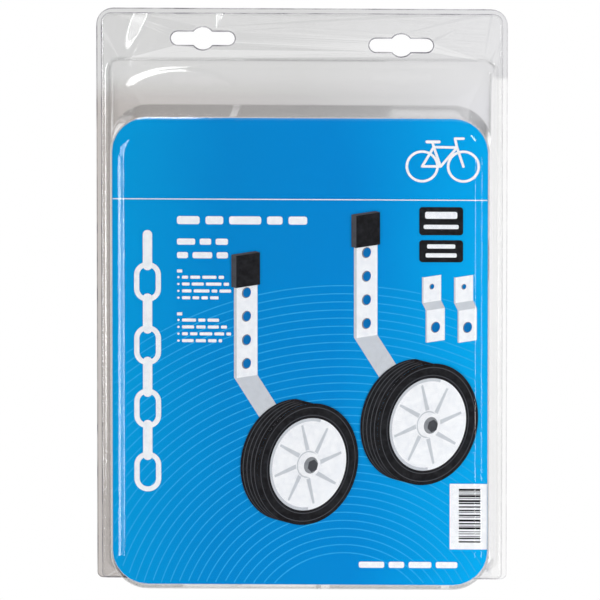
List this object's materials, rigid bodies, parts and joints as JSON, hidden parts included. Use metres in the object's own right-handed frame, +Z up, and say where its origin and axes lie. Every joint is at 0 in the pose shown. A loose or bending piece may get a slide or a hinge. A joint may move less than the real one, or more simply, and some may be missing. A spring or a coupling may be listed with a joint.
{
  "type": "retail blister pack of bicycle training wheels",
  "caption": "Clear hanging blister pack with a deep rounded front dome, a blue printed card and unmounted bicycle training wheels, legs and axle brackets packed behind it.",
  "frame": {"origin": "midway between the two hang slots, on the plane where the two flanges meet", "axes": "+Z up as it hangs, -Y out of the front face towards the shopper, +X to the right seen from the front"},
  "size_m": [0.2062, 0.0723, 0.2962],
  "materials": {
    "clear_sheet": "clear thermoformed PET, glossy",
    "card": "blue print, satin",
    "white_coated_steel": "white powder coat, satin",
    "black_cap": "matte",
    "white_plastic": "moulded, semi-gloss",
    "black_tyre": "satin",
    "zinc_steel": "zinc plated"
  },
  "bodies": {
    "pack": {"front_shell": "clear_sheet", "back_shell": "clear_sheet", "printed_card": "card", "left_leg": "white_coated_steel", "left_leg_cap": "black_cap", "left_axle_bolt": "zinc_steel", "left_axle_nut": "zinc_steel", "left_head_washer": "zinc_steel", "left_nut_washer": "zinc_steel", "left_bracket": "white_coated_steel", "right_leg": "white_coated_steel", "right_leg_cap": "black_cap", "right_axle_bolt": "zinc_steel", "right_axle_nut": "zinc_steel", "right_head_washer": "zinc_steel", "right_nut_washer": "zinc_steel", "right_bracket": "white_coated_steel"},
    "left_wheel_body": {"left_wheel": "white_plastic", "left_tyre": "black_tyre"},
    "right_wheel_body": {"right_wheel": "white_plastic", "right_tyre": "black_tyre"}
  },
  "joints": [
    {"name": "left_wheel_spin", "type": "hinge", "parent": "pack", "child": "left_wheel_body", "pos_m": [-0.0343, -0.0125, -0.20892], "axis": [0, 1, 0], "continuous": true},
    {"name": "right_wheel_spin", "type": "hinge", "parent": "pack", "child": "right_wheel_body", "pos_m": [0.0343, -0.0125, -0.1101], "axis": [0, 1, 0], "continuous": true}
  ]
}
